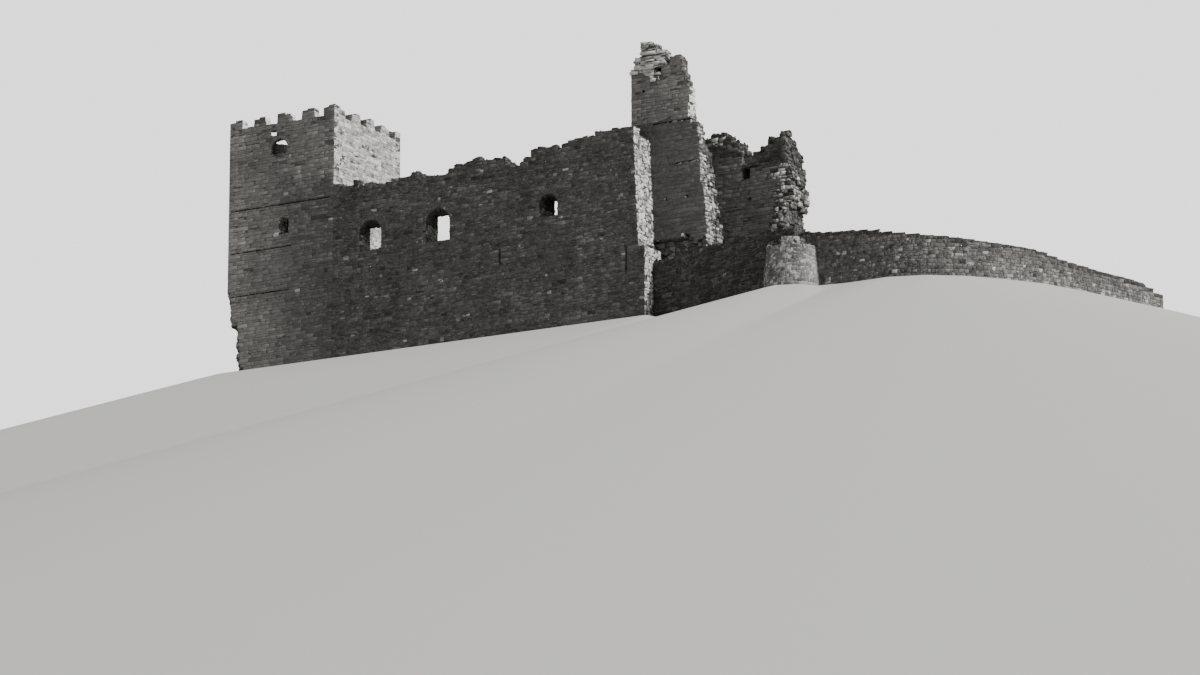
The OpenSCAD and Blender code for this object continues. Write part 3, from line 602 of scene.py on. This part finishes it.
def keepKinds(plane, x, y, z):
    # smooth, with rougher stones low in the front where x > 0.10 + 0.05 sin 9z + 0.16 sin(97x + 61z); pale at the
    # right, painted sunlight on the faces toward the sun
    n = plane["n"]
    if inside(plane, robbedCorner):
        return "ShadedRubble"
    # the breast in the upper opening: its upper left part is laid in darker reveal stones, painted shade
    if inside(plane, keepOpening) and n[1] < -0.5:
        return np.where((z > 1.79) & (x < 0.0), "Reveal", "Weathered")
    if inside(plane, keepWindow) or inside(plane, keepOpening):
        return "Reveal"
    if abs(n[2]) > 0.5:
        return "Coping"
    if n[0] > 0.5:
        # faces toward the sun are painted pale, the highest merlons almost white: painted sunlight
        return "Bleached" if plane["low"][2] > paintedSunWhiteFrom else "Sunlit"
    border = 0.10 + 0.05 * np.sin(9 * z) + 0.16 * np.sin(97 * x + 61 * z)
    return np.where((n[1] < -0.5) & (x > border) & (z < 1.6), "Weathered", "Smooth")


def keepShift(x, y, z):
    # front: m (0.04 - 0.1 x) - (1 - m) (0.05 + 0.46 x), where m grows from 0 to 1 under the battlements: even there,
    # and below pale at the left and dark at the right. The window's jambs are painted pale: painted light in the shaded
    # reveal
    mix = gradient(z, 1, 1.42, 0.16)
    front = mix * (0.04 - 0.1 * x) - (1 - mix) * (0.05 + 0.46 * x)
    shift = np.where((y < -0.45) & (x < 0.505), front, -0.06)
    return np.where(stonesIn(keepJambs, x, y, z), 0.5, shift)


# hall wall: boxes of the window reveals and of their jambs, and where its clean right end begins
hallWindows = [((0.69, -0.495, 0.84), (1.04, -0.235, 1.11)), ((1.33, -0.495, 0.83), (1.68, -0.235, 1.12)),
               ((2.43, -0.495, 0.90), (2.63, -0.235, 1.10))]
hallJambs = ((0, -0.47, 0.83), (3, -0.24, 1.12))
hallEnd = 3.29


def hallKinds(plane, x, y, z):
    # squared blocks at the right end, pale there as painted sunlight on the face toward the sun; rough faces, and
    # broken core on top and in the torn parts
    n = plane["n"]
    if n[0] > 0.5 and plane["low"][0] > hallEnd:
        return "Squared"
    if any(inside(plane, box) for box in hallWindows):
        return "Reveal"
    if abs(n[2]) < 0.5 and n[0] < 0.5:
        return "RearRough" if n[1] > 0.5 else "Rough"
    return "BrokenTop" if n[2] > 0.5 else "ShadedRubble"


def hallShift(x, y, z):
    # darker under the broken top; the heads of the windows painted darker, painted shade, and their jambs paler,
    # painted light
    return np.where(stonesIn(hallJambs, x, y, z), np.where(z > 0.99, -0.3, 0.4), np.where(z > 1.3, -0.08, -0.02))


# great tower: boxes, heights, y, and lines as their x and z
footHollow = ((3.2, -0.238, 0.4), (3.92, -0.13, 0.70))
hollowStones = ((0, -0.235, -1), (9, -0.12, 0.70))
towerJoint = 1.610   # deep level joint across the front
# the strip over the deep joint on the torn side faces the sun and is painted white there: painted sunlight
whiteTop = 1.86      # top of the white strip over that joint on the torn side
towerFront = -0.235  # behind the stones of the front
towerInside = 0.02   # before the left and back walls
ledgeLine = ([3.42, 3.46, 3.51, 3.57], [1.66, 1.63, 1.57, 1.50])  # broken ledge on the back wall
crownLine = ([3.14, 3.24, 3.30, 3.36, 3.42, 3.45], [2.045, 2.035, 1.97, 1.94, 1.945, 2.3])  # core shows above it


def towerKinds(plane, x, y, z):
    # broken core at the crown and on the torn sides, a smooth panel low on the back wall, dark core in the hollow
    n = plane["n"]
    if inside(plane, footHollow) or n[2] < -0.5:
        return "ShadedRubble"
    if y.mean() > towerInside and (n[2] > 0.5 or n[0] > 0.5 and x.mean() < 4.1):
        return "BrokenTop" if n[2] > 0.5 else "ShadedRubble"
    if n[2] > 0.5 or n[0] > 0.5:
        # on the torn side toward the sun the strip over the deep joint is painted white: painted sunlight
        return np.where((z > towerJoint) & (z < whiteTop) & (n[0] > 0.5), "Bleached", "Rubble")
    if n[1] < -0.5 and y.mean() < 0:
        return np.where(z > np.interp(x, *crownLine), "Crown", "Smooth")
    ledge = (x > 3.42) & (x < 3.59) & (np.abs(z - np.interp(x, *ledgeLine)) < 0.035)
    panel = (x < 4.06) & (z < 1.5 - 0.13 * (x > 3.77))
    torn = (x > 3.96 + 0.03 * np.sin(47 * z)) & (z < 1.4)
    faced = np.where(ledge, "Squared", np.where(panel, "Smooth", "Rough"))
    return np.where(n[1] > -0.5, "Rough", np.where(torn, "Rubble", faced))


def towerShift(x, y, z):
    # front: paler over the deep joint; crown: bright along its foot and in an ellipse; torn side: bright along its
    # front edge and painted white for a stretch over the joint as painted sunlight; back wall: paler downwards and to
    # the right, its end dark above
    line = np.interp(x, *crownLine)
    front = np.where(z > towerJoint, 0.06 + gradient(x, 0.1, 3.27, -0.1), -0.2 - gradient(x, 0.1, 3.57, -0.15))
    middle = np.hypot((x - 3.39) / 0.06, (z - 2.13) / 0.09) < 1
    crown = np.where((z < line + 0.045) | middle, 0.4, -0.05)
    torn = np.where(z > towerJoint, np.where(z < whiteTop, 0.2, -0.35), np.where(y < -0.17, 0.14, -0.26))
    torn = np.where(stonesIn(hollowStones, x, y, z), 0.3, np.where(x > 3.5, torn, -0.08))
    back = np.interp(x, [3.77, 3.96], [0.0, 0.08]) - 0.08 + gradient(z, 0.11, 1.35, -0.5)
    back = np.where(np.abs(y - 0.61) < 0.04, back, -0.06)
    end = np.where(z > 1.15, -0.18, 0.0)
    return np.where((y < towerFront) & (x < 3.9), np.where(z > line, crown, front),
                    np.where(y < towerInside, torn, np.where(x > 4.12, end, back)))


def lowWallKinds(plane, x, y, z):
    # broken core on top, rough faces
    return "BrokenTop" if plane["n"][2] > 0.5 else "Rough"


# parts of the castle: how their nodes' names begin, the kind of stonework at a place, and its shift of tone
subparts = {
    "keep": ("keep_", keepKinds, keepShift),
    "hall": ("hall_", hallKinds, hallShift),
    "greatTower": ("great_tower", towerKinds, towerShift),
    # the low wall is painted darker all over: painted shade
    "lowWall": ("low_wall", lowWallKinds, lambda x, y, z: -0.34),
    "turret": ("round_turret", lowWallKinds, lambda x, y, z: 0.0),
}
seeds = dict(walls=5, turret=31, outerWall=47)
allPlanes = facePlanes(list(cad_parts))
for number, (part, (start, kindsAt, shiftAt)) in enumerate(subparts.items()):
    rng = np.random.default_rng(seeds["walls"] + number)
    # stones on every flat face, sorted by kind, and then one piece for each kind
    laid = {}
    for plane in facePlanes([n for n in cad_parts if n.startswith(start) and n not in floorNodes]):
        n, flat = plane["n"], plane["flat"]
        straight = np.abs(n).max() > square
        joint = towerJoint if part == "greatTower" and n[1] < -square and plane["low"][1] < 0 else None
        # none on low faces or the foot, in the keep's rooms or on the turret's sides
        if np.ptp(flat[..., 1]) < (12 if straight else 25) * mm or plane["high"][2] < 1 * mm:
            continue
        if part == "keep" and inside(plane, keepRooms) or part == "turret" and 0.002 < abs(n[2]) < 0.99:
            continue
        signs = (1, -1) if abs(n[2]) > levelFrom else (-1, 1)
        against = [(o, *signs) for o in allPlanes if o["n"] @ n < -0.9999 and abs(o["d"] + plane["d"]) < 0.5 * mm]
        # the kind at its middle says how its rows are laid
        first = kindsAt(plane, *(np.full(1, m) for m in (plane["low"] + plane["high"]) / 2))
        style = kinds[str(np.ravel(first)[0])]
        key = (round(n[0]), round(n[1]), int(round(float(plane["d"] * n[np.argmax(np.abs(n))]) / mm)))
        low, high = flat.min((0, 1)), flat.max((0, 1))
        arches = [a for a in archFaces.get(key, ()) if straight and abs(n[2]) < 0.5
                  and low[0] < a[0] < high[0] and low[1] < a[1] < high[1]]
        rows = layPlane(plane, against, style, rng, arches, joint)
        for corners, normals in [(rows, np.broadcast_to(n, rows[:, 0].shape)), *(archStones(plane, a) for a in arches)]:
            if not len(corners):
                continue
            which = np.broadcast_to(kindsAt(plane, *corners.mean(1).T), (len(corners),))
            which = np.where(normals @ n < 0.5, "Reveal", which)
            for kind in np.unique(which):
                laid.setdefault(str(kind), []).append((corners[which == kind], normals[which == kind]))
    for kind, stones in sorted(laid.items()):
        corners, normals = (np.concatenate([s[i] for s in stones]) for i in (0, 1))
        if kind in ("Rubble", "Squared"):
            corners, normals = halved(corners, normals, 1.5 * kinds[kind]["length"])
        stoneMesh(part + kind + "Stones", corners, normals, kinds[kind], shiftAt(*corners.mean(1).T), rng)

# round turret: a cone of facing stones under a broken rim
turret = dict(
    centre=(4.76, -0.58), base=0.240, top=0.196, height=0.390, length=34 * mm, lengths=(0.5, 1.7),
    turn=1.7,  # each row starts this many radians further round
    probe=0.05, near=4 * mm,  # the wall is looked for from this far outside, and has to be this near to the cone
    upright=0.11,  # part of the stones' normals
    rimFrom=0.33,  # stones that reach higher are part of the rim
    body=dict(sunlit, row=30 * mm, skew=2.4 * mm, gap=0.1 * mm, relief=(1.2 * mm, 2.4 * mm), material=facingStone,
              tone=(0.46, 0.09), bright=0.0, dim=0.03),
    rim=dict(rubble, material=facingStone, relief=(0.5 * mm, 6 * mm), tone=(0.5, 0.16), bright=0.05),
    # shifts of tone by x: paler on the right, where the facing was renewed
    shift=([4.65, 4.70, 4.78, 4.85, 4.93, 5.0], [-0.02, 0.02, 0.04, -0.04, 0.16, 0.28]),
)


def layTurret(rng):
    # stones round a cone: corners at angle a and height z, at radius base + (top - base) z / height
    tree = BVHTree.FromObject(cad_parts["round_turret"], bpy.context.evaluated_depsgraph_get())
    count = int(round(2 * pi * turret["base"] / turret["length"]))
    quads = []
    for row in range(int(round(turret["height"] / course))):
        parts = rng.uniform(*turret["lengths"], count)
        angle = sums(parts) / parts.sum() * 2 * pi + row * turret["turn"]
        quads.append(rowOf(angle, row * course, (row + 1) * course))
    quads = np.concatenate(quads)
    def place(angle, z):
        # a point of the cone
        radius = turret["base"] + (turret["top"] - turret["base"]) * z / turret["height"]
        x, y = turret["centre"]
        return np.stack([x + radius * np.cos(angle), y + radius * np.sin(angle), z], axis=-1)
    middle, level = (quads[:, 0] + quads[:, 1]) / 2, (quads[:, 2] + quads[:, 3]) / 2
    inward = np.stack([-np.cos(middle), -np.sin(middle), np.zeros(len(middle))], axis=1)
    start = place(middle, level) - turret["probe"] * inward
    seen = np.array([tree.ray_cast(Vector(p), Vector(d))[3] or np.inf for p, d in zip(start, inward)])
    near = np.abs(seen - turret["probe"]) < turret["near"]
    middle = middle[near]
    normals = np.stack([np.cos(middle), np.sin(middle), np.full(len(middle), turret["upright"])], axis=1)
    return cornersOf(quads[near], place), normals


rng = np.random.default_rng(seeds["turret"])
corners, normals = layTurret(rng)
rim = corners[..., 2].max(1) > turret["rimFrom"]
for kind, mine, style in (("Sunlit", ~rim, turret["body"]), ("Rubble", rim, turret["rim"])):
    shift = np.interp(corners[mine].mean(1)[:, 0], *turret["shift"])
    stoneMesh("turretWall" + kind + "Stones", corners[mine], normals[mine], style, shift, rng)

# the long curved outer wall, of smaller stones: radius and height by angle, in metres by degrees
outerWall = dict(
    centre=(4.89, 1.20), start=-92.6, end=5.0, lengths=32, thickness=0.120, stepMm=5,
    radius=([-93, -89, -76, -69, -61, -53, -44, -34, -23, -9, 3, 5],
            [1.790, 1.790, 1.868, 1.950, 1.985, 1.973, 1.936, 1.909, 1.873, 1.895, 2.013, 2.040]),
    height=([-93, -89, -84, -76, -72, -69, -65, -61, -57, -53, -44, -34, -28, -16, -9, -3, 0, 3, 5],
            [0.464, 0.445, 0.419, 0.403, 0.380, 0.356, 0.337, 0.318, 0.306, 0.296, 0.276, 0.263, 0.222, 0.190, 0.192,
             0.178, 0.152, 0.121, 0.110]),
    style=dict(rough, row=23 * mm, length=34 * mm, patch=0.16, skew=2.6 * mm, tone=(0.32, 0.12), bright=0.03, dim=0.04,
               material=outerStone, slot="stone_grey"),
    rows=30, topRows=3, lowest=6 * mm,  # rows up the wall and across its top, and the lowest stone
    tooth=25,  # how far a row reaches into the next patch, in mm
    turret=(0.21, 0.35),  # no stones this near to the turret's axis and under this height
    # the top course is painted darker: painted shade
    tone=0.03, topTone=-0.05, paintedShadeRow=(12 * mm, -0.3),  # stones that end this near to the top are this much darker
    farEnd=(0.3, 5.8, 0.7), foot=(1, 0, 0.2),  # gradients by x and by height of the pale foot at the far end
)


def outerPath(back):
    # plan points: centre + (radius(a) - back) (cos a, sin a), distances along them, and each length's height in steps
    (x, y), step = outerWall["centre"], outerWall["stepMm"]
    angle = np.linspace(outerWall["start"], outerWall["end"], outerWall["lengths"] + 1)
    radius = np.interp(angle, *outerWall["radius"]) - back
    points = np.stack([x + radius * np.cos(np.radians(angle)), y + radius * np.sin(np.radians(angle))], axis=1)
    along = sums(np.linalg.norm(np.diff(points, axis=0), axis=1))
    height = np.round(np.interp((angle[:-1] + angle[1:]) / 2, *outerWall["height"]) / (step * mm)) * step * mm
    return points, along, height


def heightsAt(places, along, height):
    # height of the wall under the middle of each stone between the places
    length = np.searchsorted(along, (places[:-1] + places[1:]) / 2) - 1
    return height[np.clip(length, 0, len(height) - 1)]


def onPath(s, along, points, z):
    # points in space at distance s along plan points, at height z
    return np.stack([np.interp(s, along, points[:, 0]), np.interp(s, along, points[:, 1]), z], axis=-1)


def layOuter(rng, back, sign):
    # stones along a bent face: corners at distance s along the path and height z, in patches with their own joints;
    # with how far each is below the top
    points, along, height = outerPath(back)
    style, rows, depth = outerWall["style"], [], []
    borders = divide(0.0, along[-1], style["patch"], rng, None)
    for patchLeft, patchRight in zip(borders[:-1], borders[1:]):
        edges = sums(rng.uniform(*laying["patchRows"], outerWall["rows"])) * style["row"]
        for low, high in zip(edges[:-1], edges[1:]):
            reach = [patchLeft - rng.uniform(0, outerWall["tooth"]) * mm,
                     patchRight + rng.uniform(0, outerWall["tooth"]) * mm]
            places = divide(*np.clip(reach, 0, along[-1]), style["length"], rng, None)
            local = heightsAt(places, along, height)
            top = np.minimum(high, local)
            keep = top - low > outerWall["lowest"]
            rows.append(rowOf(places, low, top)[keep])
            depth.append((local - top)[keep])
    corners = cornersOf(np.concatenate(rows), lambda s, z: onPath(s, along, points, z))
    middle = corners.mean(1)
    radius, top = outerWall["turret"]
    free = (np.hypot(*(middle[:, :2] - turret["centre"]).T) > radius) | (middle[:, 2] > top)
    corners, depth = corners[free], np.concatenate(depth)[free]
    if sign < 0:
        corners = corners[:, [1, 0, 3, 2]]
    normals = np.cross(corners[:, 1] - corners[:, 0], [0, 0, 1.0])
    return corners, normals / np.linalg.norm(normals, axis=1)[:, None], depth


def layOuterTop(rng):
    # flat stones across the top, in rows whose plan is outer + (inner - outer) times a share
    outer, along, height = outerPath(0)
    inner = outerPath(outerWall["thickness"])[0]
    corners, count = [], outerWall["topRows"]
    for row in range(count):
        places = divide(0.0, along[-1], outerWall["style"]["length"], rng, None)
        local = heightsAt(places, along, height)
        near, far = (outer + (inner - outer) * share for share in (row / count, (row + 1) / count))
        pairs = ((places[:-1], near), (places[1:], near), (places[1:], far), (places[:-1], far))
        corners.append(np.stack([onPath(s, along, plan, local) for s, plan in pairs], axis=1))
    corners = np.concatenate(corners)
    return corners, np.broadcast_to(np.array([0, 0, 1.0]), (len(corners), 3))


rng = np.random.default_rng(seeds["outerWall"])
style = outerWall["style"]
faces = [layOuter(rng, 0.0, 1), layOuter(rng, outerWall["thickness"], -1)]
corners, normals, depth = (np.concatenate([f[i] for f in faces]) for i in (0, 1, 2))
# a top row painted dark as painted shade, and a pale foot towards the far end
middle = corners.mean(1)
foot = gradient(middle[:, 0], *outerWall["farEnd"]) * (1 - gradient(middle[:, 2], *outerWall["foot"]))
band, paintedShadeTone = outerWall["paintedShadeRow"]
shift = np.where(depth < band, paintedShadeTone, outerWall["tone"] + foot)
stoneMesh("outerWallStones", corners, normals, style, shift, rng)
stoneMesh("outerWallTopStones", *layOuterTop(rng), style, outerWall["topTone"], rng)

# pale floor: level under the castle, falling away from just outside the walls because the photograph looks up at it
ground = dict(
    outline=[
        (-0.525, -0.505), (3.42, -0.505), (3.42, -0.385), (4.51, -0.61), (4.596, -0.775), (4.76, -0.835),
        (4.924, -0.775), (5.0, -0.667), (5.212, -0.628), (5.346, -0.627), (5.594, -0.635), (5.86, -0.549),
        (6.086, -0.388), (6.293, -0.155), (6.485, 0.124), (6.628, 0.462), (6.776, 0.901), (6.915, 1.306),
        (6.937, 1.4), (6.8, 1.42), (4.2, 0.9), (3.0, 0.9), (0.56, 0.505), (-0.525, 0.505),
    ],
    span=((-0.8, 7.3), (-1.1, 1.7)),  # x and y of the even cells
    slope=20.0, round=0.03,  # degrees, and radius at its edge
    cell=0.02, grow=1.12, steps=60, reach=70.0, hex="#c8c7c4",
)


def groundHeight(x, y):
    # 0 inside the outline, then -tan(slope) (sqrt(d^2 + r^2) - r) at distance d outside it
    start = np.array(ground["outline"])
    run = np.roll(start, -1, axis=0) - start
    nearest, crossings = np.full(x.shape, np.inf), np.zeros(x.shape, int)
    for (px, py), (rx, ry) in zip(start, run):
        part = np.clip(((x - px) * rx + (y - py) * ry) / (rx ** 2 + ry ** 2), 0, 1)
        nearest = np.minimum(nearest, np.hypot(x - px - part * rx, y - py - part * ry))
        crossings += ((py > y) != (py + ry > y)) & (x < (y - py) / (ry or 1e-9) * rx + px)
    distance = np.where(crossings % 2 == 1, 0, nearest)
    return -np.tan(radians(ground["slope"])) * (np.sqrt(distance ** 2 + ground["round"] ** 2) - ground["round"])


def gridLine(low, high):
    # even cells from low to high, then each step 'grow' times the one before, out to the reach
    out = np.cumsum(ground["cell"] * ground["grow"] ** np.arange(1, ground["steps"]))
    out = out[out < ground["reach"]]
    return np.concatenate([(low - out)[::-1], np.arange(low, high, ground["cell"]), high + out])


def makeGround():
    # floor of cells: corners at the grid's x and y and the ground's height, in matt pale plaster
    x, y = np.meshgrid(*(gridLine(*span) for span in ground["span"]), indexing="ij")
    points = np.stack([x, y, groundHeight(x, y)], axis=-1).reshape(-1, 3)
    index = np.arange(len(points)).reshape(x.shape)
    quads = np.stack([index[:-1, :-1], index[1:, :-1], index[1:, 1:], index[:-1, 1:]], axis=-1).reshape(-1, 4)
    mesh = bpy.data.meshes.new("paleFloor")
    mesh.from_pydata(points.tolist(), [], quads.tolist())
    mesh.polygons.foreach_set("use_smooth", np.ones(len(quads), bool))
    material, tree, shader = newMaterial("paleFloor")
    connect(tree, shader, {"Base Color": fromHex(ground["hex"]), "Roughness": 1.0, "Specular IOR Level": 0.0})
    mesh.materials.append(material)
    floor = bpy.data.objects.new("paleFloor", mesh)
    scene.collection.objects.link(floor)


makeGround()
# sun from the right, in degrees round, up and across; strengths of the sky's light and of the backdrop in view
light = dict(sunFrom=90.0, sunUp=34.0, sunPower=4.2, sunSoft=4.0, sky=0.46, backdrop=1.86)
sunData = bpy.data.lights.new("studioKey", "SUN")
sunData.energy, sunData.angle = light["sunPower"], radians(light["sunSoft"])
sun = bpy.data.objects.new("studioKey", sunData)
sun.rotation_euler = (radians(90 - light["sunUp"]), 0, radians(light["sunFrom"]))
scene.collection.objects.link(sun)

world = bpy.data.worlds.new("paleBackdrop")
world.use_nodes = True
scene.world = world
tree = world.node_tree
tree.nodes.clear()
rays = addNode(tree, "LightPath")
soft, backdrop = (addNode(tree, "Background", {"Color": (1, 1, 1, 1), "Strength": light[name]}).outputs[0]
                  for name in ("sky", "backdrop"))
mixed = addNode(tree, "MixShader", links={0: rays.outputs["Is Camera Ray"], 1: soft, 2: backdrop})
addNode(tree, "OutputWorld", links={"Surface": mixed.outputs[0]})
print("castle: floor and light set")
